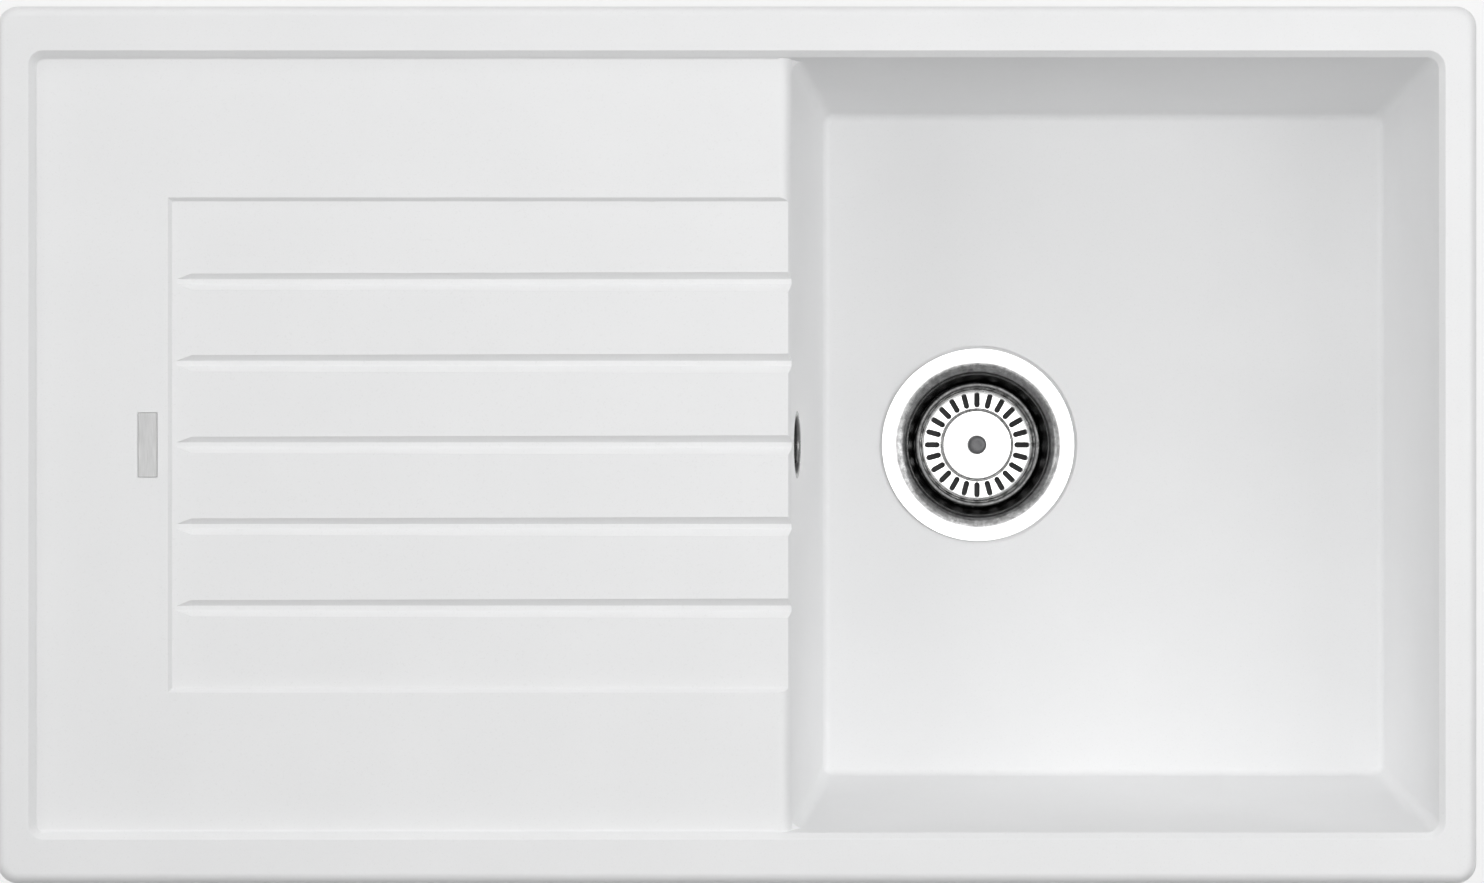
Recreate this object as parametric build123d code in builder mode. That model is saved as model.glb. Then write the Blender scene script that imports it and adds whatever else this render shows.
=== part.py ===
from build123d import *
import os
from math import atan, cos, degrees, pi, sin, tan

# A one-bowl kitchen sink with a drainboard, moulded in one piece, that drops into a worktop.
# Millimetres. The origin is the middle of the rim's outline on the worktop: +X runs to the
# bowl, +Y to the wall behind the worktop, +Z up. The rim's underside lies at Z = 0.

# Rim
sink_length = 860.0
sink_width = 510.0
outline_corner = 12.0
rim_height = 9.0
rim_edge_round = 6.0
rim_under_round = 1.0
rim_ends = 21.5  # outline to the inner edge, left and right
rim_sides = 29.0  # outline to the inner edge, front and back
rim_inner_slope = (3.2, 4.2)  # the sloping inner edge: across and down
rim_inner_round = 0.8

# Drainboard
board_drop = 6.0  # rim top to drainboard
board_thickness = 9.0
board_corner = 5.0
board_cove = 1.5
panel_inset = 77.5  # left end of the sunken board to the panel
panel_width = 288.0
panel_depth = 2.4
panel_slope = 2.3  # the width of the panel's sloping edges
groove_count = 5
groove_pitch = 47.5
groove_inset = 1.5  # panel's left edge to the grooves
groove_run_in = 12.0
groove_depth = 2.9  # where the run-in ends
groove_fall = 0.8  # how much deeper a groove is at the bowl
groove_width = 9.5
groove_floor = 3.0
plate_recess = (11.6, 38.0)
plate_recess_gap = 6.0  # recess to panel
plate_recess_depth = 1.0
plate_thickness = 1.4
plate_gap = 0.2  # plain plate to the edge of its recess
plate_bevel = 0.3

# Bowl
bowl_length = 378.0  # at the height of the rim's top
bowl_depth = 190.0  # rim top to bowl floor
lean_ends = 21.0  # how far the end walls move in over the depth
lean_sides = 28.0  # the same for the front and back walls
bowl_corner = 7.0
bowl_floor_round = 5.0
lip_round = 8.0  # the rounded edge between drainboard and bowl
wall = 7.0
floor_thickness = 10.0
under_round = 15.0

# Strainer and waste
drain_from_lip = 113.9  # left edge of the bowl, at the rim's height, to the drain's axis
drain_recess_r = 59.5
drain_recess_depth = 2.4
drain_hole_r = 45.5
drain_hole_chamfer = 2.0
flange_r = 57.5
flange_drop = 0.4  # bowl floor to the flange's lip
flange_bend = 6.5
sheet = 1.2
cup_r = 42.5  # inside, at the mouth
cup_low_r = 38.5  # inside, at the floor
cup_depth = 36.5
cup_bend = 3.6
cup_seat_r = 26.0  # inner edge of the seat that the rubber disc closes on
hub_drop = 5.5
hub_r = 12.0
hub_bend = 2.0
grid_holes = 8
grid_hole_r = 3.6
grid_pitch_r = 19.0
seal_gap = 0.5  # between the edge of a seal and the metal beside it
gasket_thickness = 3.0
gasket_r = 58.0
chamber_r = 46.5  # inside
chamber_wall = 3.0
chamber_depth = 38.0
chamber_flange_r = 59.0
chamber_flange_thickness = 5.0
chamber_rim = 4.0  # the rings where chamber and outlet cone are welded
chamber_rim_thickness = 2.5
throat_r = 20.0
throat_drop = 20.0
outlet_r = 23.9  # the outside of the outlet's 1 1/2 inch thread
outlet_length = 30.0
bridge_arms = 4
bridge_thickness = 5.0
bridge_arm_height = 4.6
bridge_gap = 3.0  # hub of the strainer cup to the bridge
bridge_hub_height = 13.0
bridge_hub_r = 11.0

# Clamp screw and nut
clamp_r = 4.0
clamp_head_r = 8.5
clamp_head_height = 5.0
clamp_bore_depth = 18.0
clamp_overhang = 4.0
clamp_clearance = 0.2
clamp_nut_across = 13.0
clamp_nut_height = 6.5

# Basket
basket_r = 37.6
basket_sheet = 1.0
basket_rim_drop = 13.0  # bowl floor to the basket's rim
basket_rim_width = 2.2
basket_rim_skirt = 2.4
basket_floor_drop = 30.0
basket_floor_r = 34.2
basket_floor_bend = 4.0
disc_r = 21.0
disc_rise = 1.7
small_bend = 0.8
slot_count = 24
slot_inner_r = 22.4
slot_outer_r = 31.6
slot_width = 3.4
wall_hole_rows = 2
wall_hole_pitch = 5.0
wall_holes = 24
wall_hole_r = 1.3
knob_r = 5.7
knob_neck_r = 3.8
knob_height = 15.0
knob_neck_height = 6.0
stem_r = 2.5
stem_fit = 0.08  # radial clearance of the stem in the screw's bore
stem_reach = 16.0  # how deep the stem stands in the screw
stem_ring_depth = 0.8
stem_ring_width = 1.6
disc_seal_r = 31.0
disc_seal_thickness = 3.0
retainer_r = 20.0
retainer_hub_r = 9.0
retainer_flange = 1.2
body_gap = 0.3  # between pieces that move against each other

# Overflow
overflow_height = -34.0
overflow_hole_r = 18.4
rosette_r = 19.6
rosette_dish = 6.5
rosette_wall_r = 17.0
rosette_bend = 1.2
rosette_slots = 8
rosette_slot_width = 3.4
rosette_slot_inner_r = 6.0
rosette_slot_outer_r = 13.5
overflow_gasket_thickness = 2.5
elbow_flange_r = 23.5
elbow_flange_thickness = 3.0
elbow_r = 17.5  # inside
elbow_wall = 2.5
elbow_depth = 32.0
elbow_post_r = 5.0
overflow_screw_r = 2.2
overflow_screw_length = 22.0
overflow_screw_head_r = 4.2
overflow_screw_head_height = 2.2

# Overflow hose and its two unions
hose_r = 13.0  # over the ribs
hose_root_r = 11.2
hose_bore_r = 9.8
hose_pitch = 5.0
hose_from_lip = 22.5  # the hose's axis to the left edge of the bowl
hose_bend_r = 45.0
hose_level = -216.0
hose_insert = 9.0
socket_wall = 2.7
socket_passage_r = 10.5
upper_socket_end = -78.0
lower_socket_reach = 74.4  # from the drain's axis
fit_gap = 0.3
nut_wall = 3.6
nut_length = 22.0
nut_lip = 3.0
nut_grips = 12
nut_grip_r = 2.2
washer_thickness = 5.0

# Fixing clips under the worktop
rim_overlap = 10.0  # rim's outline to the side of the cut-out
worktop = 40.0
clips_per_side = 4
clip_end_gap = 85.0  # the sink's ends to the first and last clip
boss_length = 22.0
boss_edge_gap = 1.5  # boss to the side of the cut-out
boss_depth = 20.0
boss_width = 17.5
dowel_r = 3.75
dowel_length = 24.0
clip_axis_gap = 7.5  # screw axis to the side of the cut-out
clip_screw_r = 2.5
clip_fit = 0.08
clip_shank = 35.0
clip_head_r = 4.6
clip_head_height = 4.0
clip_key = 4.0  # across the flats of the key's recess
clip_key_depth = 2.2
claw_width = 11.0
claw_thickness = 2.0
claw_outer = 16.5
claw_inner = 7.0
claw_tooth = 3.0
claw_heel = 6.0

# Foam seal in the rim
seal_groove_inset = 2.4  # outline to the groove
seal_groove_width = 5.4
seal_groove_depth = 2.4
foam_gap = 0.2

# Heights and places that follow from the sizes above
board_height = rim_height - board_drop
board_under = board_height - board_thickness
floor_height = rim_height - bowl_depth
floor_under = floor_height - floor_thickness
recess_half_length = sink_length / 2 - rim_ends
recess_half_width = sink_width / 2 - rim_sides
bowl_left = recess_half_length - bowl_length
bowl_middle = (bowl_left + recess_half_length) / 2
lean = atan(lean_ends / bowl_depth)  # of the bowl's end walls, in radians
panel_left = panel_inset - recess_half_length
groove_start = panel_left + groove_inset
plate_recess_x = panel_left - plate_recess_gap - plate_recess[0] / 2
drain_x = bowl_left + drain_from_lip
hose_x = bowl_left - hose_from_lip
lower_socket_end = drain_x - lower_socket_reach


def drawn_in(height, lean):
    """How far a leaning wall has moved in at a height, counted from the rim's top."""
    return lean * (rim_height - height) / bowl_depth


def left_wall(height):
    """Where the inner face of the bowl's left wall stands at a height."""
    return bowl_left + drawn_in(height, lean_ends)


def end_wall(height):
    """Where the inner face of the rim's or the bowl's right end stands at a height."""
    return recess_half_length - drawn_in(height, lean_ends)


def side_wall(height):
    """Where the inner face of the back wall stands at a height."""
    return recess_half_width - drawn_in(height, lean_sides)


os.makedirs("parts", exist_ok=True)


def finish(piece, name):
    """Names a finished piece and writes it."""
    piece.part.label = name
    export_step(piece.part, f"parts/{name}.step")


# ---------------------------------------------------------------- the moulded sink

# Each room and shell is its length profile, met by its width profile. All the walls lean.
width_levels = (rim_height, floor_under - wall)


def width_profile(grown):
    """The outline of the front and back walls, seen from the end and grown outwards."""
    top, low = [side_wall(height) + grown for height in width_levels]
    high, deep = width_levels
    return (-top, high), (top, high), (low, deep), (-low, deep)


# Room above the drainboard, from its left end to the middle of the bowl
recess_end = bowl_middle
with BuildPart() as board_space:
    with BuildSketch(Plane.XZ):
        Polygon(
            (-end_wall(rim_height), rim_height),
            (recess_end, rim_height),
            (recess_end, board_height),
            (-end_wall(board_height), board_height),
            align=None,
        )
    extrude(amount=sink_width / 2, both=True)
    with BuildSketch(Plane.YZ):
        Polygon(*width_profile(0), align=None)
    extrude(amount=sink_length / 2, both=True, mode=Mode.INTERSECT)
    uprights = board_space.edges().filter_by(
        lambda edge: abs((edge @ 1 - edge @ 0).Z) > board_drop / 2
    )
    fillet(uprights.filter_by(lambda edge: edge.center().X < 0), board_corner)
    floor_edges = board_space.faces().sort_by(Axis.Z)[0].edges()
    fillet(floor_edges.filter_by(lambda edge: edge.center().X < recess_end - 1), board_cove)

# Room in the bowl
with BuildPart() as bowl_space:
    with BuildSketch(Plane.XZ):
        Polygon(
            (left_wall(rim_height), rim_height),
            (end_wall(rim_height), rim_height),
            (end_wall(floor_height), floor_height),
            (left_wall(floor_height), floor_height),
            align=None,
        )
    extrude(amount=sink_width / 2, both=True)
    with BuildSketch(Plane.YZ):
        Polygon(*width_profile(0), align=None)
    extrude(amount=sink_length / 2, both=True, mode=Mode.INTERSECT)
    space_corners = bowl_space.edges().filter_by(lambda edge: abs((edge @ 1 - edge @ 0).Z) > wall)
    fillet(space_corners, bowl_corner)
    fillet(bowl_space.faces().sort_by(Axis.Z)[0].edges(), bowl_floor_round)

# Room over the rounded lip, where the drainboard turns down into the bowl. Its low end
# slants into the bowl's corners, where their rounding begins.
lip_top_x = left_wall(board_height) - lip_round * (1 - sin(lean)) / cos(lean)
lip_end_x = lip_top_x + lip_round * cos(lean)
lip_end_height = board_height - lip_round * (1 - sin(lean))
lip_middle = (
    lip_top_x + lip_round * cos((pi / 2 + lean) / 2),
    board_height - lip_round + lip_round * sin((pi / 2 + lean) / 2),
)
with BuildPart() as lip_space:
    with BuildSketch(Plane.XZ):
        with BuildLine():
            ThreePointArc((lip_top_x, board_height), lip_middle, (lip_end_x, lip_end_height))
            Polyline(
                (lip_end_x, lip_end_height),
                (lip_end_x + bowl_corner, lip_end_height - bowl_corner),
                (lip_end_x + bowl_corner, rim_height),
                (lip_top_x, rim_height),
                (lip_top_x, board_height),
            )
        make_face()
    extrude(amount=sink_width / 2, both=True)
    with BuildSketch(Plane.YZ):
        Polygon(*width_profile(0), align=None)
    extrude(amount=sink_length / 2, both=True, mode=Mode.INTERSECT)

# Outside of the bowl's walls and floor
with BuildPart() as bowl_shell:
    with BuildSketch(Plane.XZ):
        Polygon(
            (left_wall(0) - wall, 0),
            (end_wall(0) + wall, 0),
            (end_wall(floor_under) + wall, floor_under),
            (left_wall(floor_under) - wall, floor_under),
            align=None,
        )
    extrude(amount=sink_width / 2, both=True)
    with BuildSketch(Plane.YZ):
        Polygon(*width_profile(wall), align=None)
    extrude(amount=sink_length / 2, both=True, mode=Mode.INTERSECT)
    shell_corners = bowl_shell.edges().filter_by(lambda edge: abs((edge @ 1 - edge @ 0).Z) > wall)
    fillet(shell_corners, bowl_corner + wall)
    fillet(bowl_shell.faces().sort_by(Axis.Z)[0].edges(), under_round)

panel_height = board_height - panel_depth
groove_edge = (groove_width - groove_floor) / 2 / groove_depth
groove_deep_x = groove_start + groove_run_in


def groove_depth_at(x):
    """A groove starts above the panel, runs in, and then falls gently to the bowl."""
    if x <= groove_start:
        return -panel_depth / 2
    return groove_depth + groove_fall * (x - groove_deep_x) / (lip_top_x - groove_deep_x)


cutout_side = sink_width / 2 - rim_overlap
clip_y = cutout_side - clip_axis_gap
first_clip = clip_end_gap - sink_length / 2
clip_step = -2 * first_clip / (clips_per_side - 1)
clip_xs = [first_clip + clip_step * clip for clip in range(clips_per_side)]
clip_places = [(x, side * clip_y) for side in (-1, 1) for x in clip_xs]
boss_y = cutout_side - boss_edge_gap - boss_width / 2

# The overflow's own plane: the inner face of the bowl's left wall, facing into the bowl
into_bowl = Vector(cos(lean), 0, sin(lean))
overflow_face = Plane(
    origin=(left_wall(overflow_height), 0, overflow_height), x_dir=(0, 1, 0), z_dir=into_bowl
)
wall_across = wall * cos(lean)

with BuildPart() as sink_body:
    # Rim
    with BuildSketch():
        RectangleRounded(sink_length, sink_width, outline_corner)
    extrude(amount=rim_height)
    fillet(sink_body.faces().sort_by(Axis.Z)[-1].edges(), rim_edge_round)
    fillet(sink_body.faces().sort_by(Axis.Z)[0].edges(), rim_under_round)
    # Slab of the drainboard, below the rim
    with BuildSketch():
        RectangleRounded(
            2 * (recess_half_length + wall), 2 * (recess_half_width + wall), board_corner + wall
        )
    extrude(amount=board_under)
    add(bowl_shell.part)
    # Bosses for the clips
    with BuildSketch():
        for side in (-1, 1):
            with Locations([(x, side * boss_y) for x in clip_xs]):
                Rectangle(boss_length, boss_width)
    extrude(amount=-boss_depth)
    add(board_space.part, mode=Mode.SUBTRACT)
    add(bowl_space.part, mode=Mode.SUBTRACT)
    add(lip_space.part, mode=Mode.SUBTRACT)
    # Sloping inner edge of the rim
    rim_top = sink_body.faces().filter_by_position(Axis.Z, rim_height - 0.1, rim_height + 0.1)[0]
    chamfer(rim_top.inner_wires()[0].edges(), *rim_inner_slope, reference=rim_top)
    rim_top = sink_body.faces().filter_by_position(Axis.Z, rim_height - 0.1, rim_height + 0.1)[0]
    fillet(rim_top.inner_wires()[0].edges(), rim_inner_round)
    # Sunken panel with sloping edges, open to the bowl
    with BuildSketch(Plane.XY.offset(board_height)):
        with Locations(((panel_left + recess_end) / 2, 0)):
            Rectangle(recess_end - panel_left, panel_width)
    panel_taper = degrees(atan(panel_slope / panel_depth))
    extrude(amount=-panel_depth, taper=panel_taper, mode=Mode.SUBTRACT)
    # Grooves that run from the panel's left end over the lip
    for groove in range(groove_count):
        y = (groove - (groove_count - 1) / 2) * groove_pitch
        for x in (groove_start, groove_deep_x, recess_end):
            depth = groove_depth_at(x)
            half_top = groove_floor / 2 + groove_edge * (depth + panel_depth)
            with BuildSketch(Plane(origin=(x, y, panel_height), x_dir=(0, 1, 0), z_dir=(1, 0, 0))):
                Polygon(
                    (-groove_floor / 2, -depth),
                    (groove_floor / 2, -depth),
                    (half_top, panel_depth),
                    (-half_top, panel_depth),
                    align=None,
                )
        loft(ruled=True, mode=Mode.SUBTRACT)
    # Plain shallow recess at the drainboard's left end
    with BuildSketch(Plane.XY.offset(board_height)):
        with Locations((plate_recess_x, 0)):
            Rectangle(*plate_recess)
    extrude(amount=-plate_recess_depth, mode=Mode.SUBTRACT)
    # Seat and hole for the strainer
    with BuildSketch(Plane.XY.offset(floor_height)):
        with Locations((drain_x, 0)):
            Circle(drain_recess_r)
    extrude(amount=-drain_recess_depth, mode=Mode.SUBTRACT)
    with BuildSketch(Plane.XY.offset(floor_height)):
        with Locations((drain_x, 0)):
            Circle(drain_hole_r)
    extrude(amount=-floor_thickness, mode=Mode.SUBTRACT)
    hole_edges = sink_body.edges().filter_by(GeomType.CIRCLE).filter_by(
        lambda edge: abs(edge.radius - drain_hole_r) < seal_gap
    )
    chamfer(hole_edges.sort_by(Axis.Z)[-1], drain_hole_chamfer)
    # Overflow hole with a seat for the rosette
    with BuildSketch(overflow_face):
        Circle(overflow_hole_r)
    extrude(amount=-2 * wall, mode=Mode.SUBTRACT)
    with BuildSketch(overflow_face):
        Circle(rosette_r + fit_gap)
    extrude(amount=-sheet, mode=Mode.SUBTRACT)
    # Groove for the foam seal, and the clips' holes
    with BuildSketch():
        for inset, mode in (
            (seal_groove_inset, Mode.ADD),
            (seal_groove_inset + seal_groove_width, Mode.SUBTRACT),
        ):
            RectangleRounded(
                sink_length - 2 * inset, sink_width - 2 * inset, outline_corner - inset, mode=mode
            )
    extrude(amount=seal_groove_depth, mode=Mode.SUBTRACT)
    with BuildSketch(Plane.XY.offset(-boss_depth)):
        with Locations(clip_places):
            Circle(dowel_r)
    extrude(amount=dowel_length, mode=Mode.SUBTRACT)
finish(sink_body, "sink_body")

with BuildPart() as rim_seal:
    with BuildSketch():
        for inset, mode in (
            (seal_groove_inset + foam_gap, Mode.ADD),
            (seal_groove_inset + seal_groove_width - foam_gap, Mode.SUBTRACT),
        ):
            RectangleRounded(
                sink_length - 2 * inset, sink_width - 2 * inset, outline_corner - inset, mode=mode
            )
    extrude(amount=seal_groove_depth)
finish(rim_seal, "rim_seal")

# Plain plate, glued into its recess
with BuildPart() as plain_plate:
    with BuildSketch(Plane.XY.offset(board_height - plate_recess_depth)):
        with Locations((plate_recess_x, 0)):
            Rectangle(*[side - 2 * plate_gap for side in plate_recess])
    extrude(amount=plate_thickness)
    chamfer(plain_plate.faces().sort_by(Axis.Z)[-1].edges(), plate_bevel)
finish(plain_plate, "plain_plate")

# ---------------------------------------------------------------- strainer and waste
# Radii are counted from the drain's axis and heights from the bowl's floor.

drain_section = Plane(origin=(drain_x, 0, floor_height), x_dir=(1, 0, 0), z_dir=(0, -1, 0))
drain_axis = Axis((drain_x, 0, floor_height), (0, 0, 1))


def drain_level(height):
    """A level plane centred on the drain, at a height above the bowl's floor."""
    return Plane(origin=(drain_x, 0, floor_height + height), z_dir=(0, 0, 1))


def sheet_ring(section, axis, points, radii, thickness):
    """A pressed sheet turned about an axis: the points are its middle line."""
    with BuildPart() as ring:
        with BuildSketch(section):
            with BuildLine():
                FilletPolyline(*points, radius=radii)
            trace(line_width=thickness)
        revolve(axis=axis)
    return ring.part


def turned(section, axis, points):
    """A solid turned about an axis from the corners of its half section."""
    with BuildPart() as ring:
        with BuildSketch(section):
            Polygon(*points, align=None)
        revolve(axis=axis)
    return ring.part


lip_middle_height = -flange_drop - sheet / 2
cup_floor_middle = -cup_depth - sheet / 2
hub_middle = cup_floor_middle - hub_drop
hub_top = hub_middle + sheet / 2
hub_under = hub_middle - sheet / 2
clamp_hole_r = clamp_r + clamp_clearance
with BuildPart() as drain_flange:
    add(
        sheet_ring(
            drain_section,
            drain_axis,
            [
                (flange_r, lip_middle_height),
                (cup_r + sheet / 2, lip_middle_height),
                (cup_low_r + sheet / 2, cup_floor_middle),
                (cup_seat_r, cup_floor_middle),
                (hub_r, hub_middle),
                (clamp_hole_r, hub_middle),
            ],
            [flange_bend, cup_bend, hub_bend, hub_bend],
            sheet,
        )
    )
    with BuildSketch(drain_level(hub_under)):
        with PolarLocations(grid_pitch_r, grid_holes):
            Circle(grid_hole_r)
    extrude(amount=hub_drop + 2 * sheet, mode=Mode.SUBTRACT)
finish(drain_flange, "drain_flange")

flange_seal_height = -flange_drop - sheet
with BuildPart() as flange_seal:
    with BuildSketch(drain_level(-drain_recess_depth)):
        Circle(flange_r - seal_gap)
        Circle(cup_r + sheet + flange_bend, mode=Mode.SUBTRACT)
    extrude(amount=drain_recess_depth + flange_seal_height)
finish(flange_seal, "flange_seal")

with BuildPart() as body_gasket:
    with BuildSketch(drain_level(-floor_thickness)):
        Circle(gasket_r)
        Circle(chamber_r, mode=Mode.SUBTRACT)
    extrude(amount=-gasket_thickness)
finish(body_gasket, "body_gasket")

# Waste body: a flanged chamber with the socket for the overflow hose. The outlet cone is
# welded to it below, and a bridge across it takes the clamp screw.
chamber_top = -floor_thickness - gasket_thickness
chamber_low = chamber_top - chamber_depth
throat_top = chamber_low - throat_drop
outlet_end = throat_top - outlet_length
bridge_top = hub_under - bridge_gap
bridge_hub_low = bridge_top - bridge_hub_height
socket_r = hose_r + fit_gap + socket_wall
lower_socket = Plane(origin=(lower_socket_end, 0, hose_level), x_dir=(0, 1, 0), z_dir=(-1, 0, 0))
upper_socket = Plane(origin=(hose_x, 0, upper_socket_end), x_dir=(0, 1, 0), z_dir=(0, 0, -1))
chamber_inside_x = drain_x - chamber_r
chamber_rim_r = chamber_r + chamber_wall + chamber_rim
with BuildPart() as waste_body:
    add(
        turned(
            drain_section,
            drain_axis,
            [
                (chamber_r, chamber_top),
                (chamber_r, chamber_low),
                (chamber_rim_r, chamber_low),
                (chamber_rim_r, chamber_low + chamber_rim_thickness),
                (chamber_r + chamber_wall, chamber_low + chamber_rim_thickness),
                (chamber_r + chamber_wall, chamber_top - chamber_flange_thickness),
                (chamber_flange_r, chamber_top - chamber_flange_thickness),
                (chamber_flange_r, chamber_top),
            ],
        )
    )
    with BuildSketch(lower_socket):
        Circle(socket_r)
        Circle(socket_passage_r, mode=Mode.SUBTRACT)
    extrude(amount=lower_socket_end - chamber_inside_x)
    with BuildSketch(lower_socket):
        Circle(hose_r + fit_gap)
    extrude(amount=-hose_insert, mode=Mode.SUBTRACT)
    with BuildSketch(lower_socket):
        Circle(socket_passage_r)
    extrude(amount=lower_socket_end - chamber_inside_x - chamber_wall, mode=Mode.SUBTRACT)
finish(waste_body, "waste_body")

with BuildPart() as outlet_cone:
    add(
        turned(
            drain_section,
            drain_axis,
            [
                (chamber_r, chamber_low),
                (throat_r, throat_top),
                (throat_r, outlet_end),
                (outlet_r, outlet_end),
                (outlet_r, throat_top - chamber_wall),
                (chamber_r + chamber_wall, chamber_low - chamber_rim_thickness),
                (chamber_rim_r, chamber_low - chamber_rim_thickness),
                (chamber_rim_r, chamber_low),
            ],
        )
    )
finish(outlet_cone, "outlet_cone")

with BuildPart() as clamp_bridge:
    with BuildSketch(drain_level(bridge_top)):
        with PolarLocations(0, bridge_arms // 2, angular_range=180, start_angle=45):
            Rectangle(3 * chamber_r, bridge_thickness)
        Circle(chamber_r, mode=Mode.INTERSECT)
    extrude(amount=-bridge_arm_height)
    with BuildSketch(drain_level(bridge_top)):
        Circle(bridge_hub_r)
    extrude(amount=-bridge_hub_height)
    with BuildSketch(drain_level(bridge_top)):
        Circle(clamp_hole_r)
    extrude(amount=-bridge_hub_height, mode=Mode.SUBTRACT)
    with BuildSketch(drain_level(bridge_hub_low)):
        RegularPolygon(clamp_nut_across / 2 + clamp_clearance, 6, major_radius=False)
    extrude(amount=clamp_nut_height, mode=Mode.SUBTRACT)
finish(clamp_bridge, "clamp_bridge")

clamp_head_top = hub_top + clamp_head_height
stem_bore_r = stem_r + stem_fit
with BuildPart() as clamp_screw:
    with BuildSketch(drain_level(hub_top)):
        Circle(clamp_head_r)
    extrude(amount=clamp_head_height)
    with BuildSketch(drain_level(hub_top)):
        Circle(clamp_r)
    extrude(amount=bridge_hub_low - clamp_overhang - hub_top)
    with BuildSketch(drain_level(clamp_head_top)):
        Circle(stem_bore_r)
    extrude(amount=-clamp_bore_depth, mode=Mode.SUBTRACT)
finish(clamp_screw, "clamp_screw")

with BuildPart() as clamp_nut:
    with BuildSketch(drain_level(bridge_hub_low)):
        RegularPolygon(clamp_nut_across / 2, 6, major_radius=False)
        Circle(clamp_r, mode=Mode.SUBTRACT)
    extrude(amount=clamp_nut_height)
finish(clamp_nut, "clamp_nut")

# ---------------------------------------------------------------- basket
# The strainer basket, its knob, stem and rubber disc lift out together.

basket_rim_top = -basket_rim_drop
basket_floor_middle = -basket_floor_drop - basket_sheet / 2
disc_middle = basket_floor_middle + disc_rise
rim_outer = basket_r - basket_sheet / 2
wall_top_r = rim_outer - basket_rim_width
with BuildPart() as basket_shell:
    add(
        sheet_ring(
            drain_section,
            drain_axis,
            [
                (rim_outer, basket_rim_top - basket_rim_skirt),
                (rim_outer, basket_rim_top - basket_sheet / 2),
                (wall_top_r, basket_rim_top - basket_sheet / 2),
                (basket_floor_r, basket_floor_middle),
                (disc_r + disc_rise / 2, basket_floor_middle),
                (disc_r - disc_rise / 2, disc_middle),
                (stem_r + basket_sheet / 4, disc_middle),
            ],
            [small_bend, small_bend, basket_floor_bend, small_bend, small_bend],
            basket_sheet,
        )
    )
    with BuildSketch(drain_level(basket_floor_middle - 2 * basket_sheet)):
        with PolarLocations((slot_inner_r + slot_outer_r) / 2, slot_count):
            SlotOverall(slot_outer_r - slot_inner_r, slot_width)
    extrude(amount=basket_floor_bend + 2 * basket_sheet, mode=Mode.SUBTRACT)
    wall_middle = (basket_rim_top + basket_floor_middle) / 2
    for row in range(wall_hole_rows):
        height = wall_middle + (row - (wall_hole_rows - 1) / 2) * wall_hole_pitch
        with Locations(drain_level(height)):
            with PolarLocations(0, wall_holes, start_angle=row % 2 * 180 / wall_holes):
                with Locations((wall_top_r, 0, 0)):
                    Cylinder(
                        wall_hole_r,
                        4 * basket_floor_bend,
                        rotation=(0, 90, 0),
                        mode=Mode.SUBTRACT,
                    )
finish(basket_shell, "basket_shell")

disc_top = disc_middle + basket_sheet / 2
disc_under = disc_middle - basket_sheet / 2
knob_low = disc_top
with BuildPart() as basket_knob:
    add(
        turned(
            drain_section,
            drain_axis,
            [
                (stem_r, knob_low),
                (knob_r, knob_low),
                (knob_neck_r, knob_low + knob_neck_height / 2),
                (knob_neck_r, knob_low + knob_neck_height),
                (knob_r, knob_low + knob_neck_height + knob_r - knob_neck_r),
                (knob_r, knob_low + knob_height - knob_r / 3),
                (knob_r / 2, knob_low + knob_height),
                (0, knob_low + knob_height),
                (0, knob_low + knob_neck_height),
                (stem_r, knob_low + knob_neck_height),
            ],
        )
    )
finish(basket_knob, "basket_knob")

stem_low = clamp_head_top - stem_reach
stem_ring_low = stem_low + 2 * stem_ring_width
with BuildPart() as basket_stem:
    with BuildSketch(drain_level(stem_low)):
        Circle(stem_r)
    extrude(amount=knob_low + knob_neck_height - stem_low)
    with BuildSketch(drain_level(stem_ring_low)):
        Circle(stem_r + stem_ring_depth)
        Circle(stem_r - stem_ring_depth, mode=Mode.SUBTRACT)
    extrude(amount=stem_ring_width, mode=Mode.SUBTRACT)
finish(basket_stem, "basket_stem")

with BuildPart() as stem_ring:
    with BuildSketch(drain_level(stem_ring_low)):
        Circle(stem_r + stem_fit / 4)
        Circle(stem_r - stem_ring_depth, mode=Mode.SUBTRACT)
    extrude(amount=stem_ring_width)
finish(stem_ring, "stem_ring")

disc_seal_low = -cup_depth + body_gap
disc_seal_top = disc_seal_low + disc_seal_thickness
with BuildPart() as basket_seal:
    with BuildSketch(drain_level(disc_seal_low)):
        Circle(disc_seal_r)
        Circle(stem_r, mode=Mode.SUBTRACT)
    extrude(amount=disc_seal_thickness)
finish(basket_seal, "basket_seal")

with BuildPart() as seal_retainer:
    add(
        turned(
            drain_section,
            drain_axis,
            [
                (stem_r, disc_seal_top),
                (retainer_r, disc_seal_top),
                (retainer_r, disc_seal_top + retainer_flange),
                (retainer_hub_r, disc_seal_top + retainer_flange),
                (retainer_hub_r, disc_under),
                (stem_r, disc_under),
            ],
        )
    )
finish(seal_retainer, "seal_retainer")

# ---------------------------------------------------------------- overflow
# Radii are counted from the overflow's axis and heights from the wall's inner face.

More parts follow.
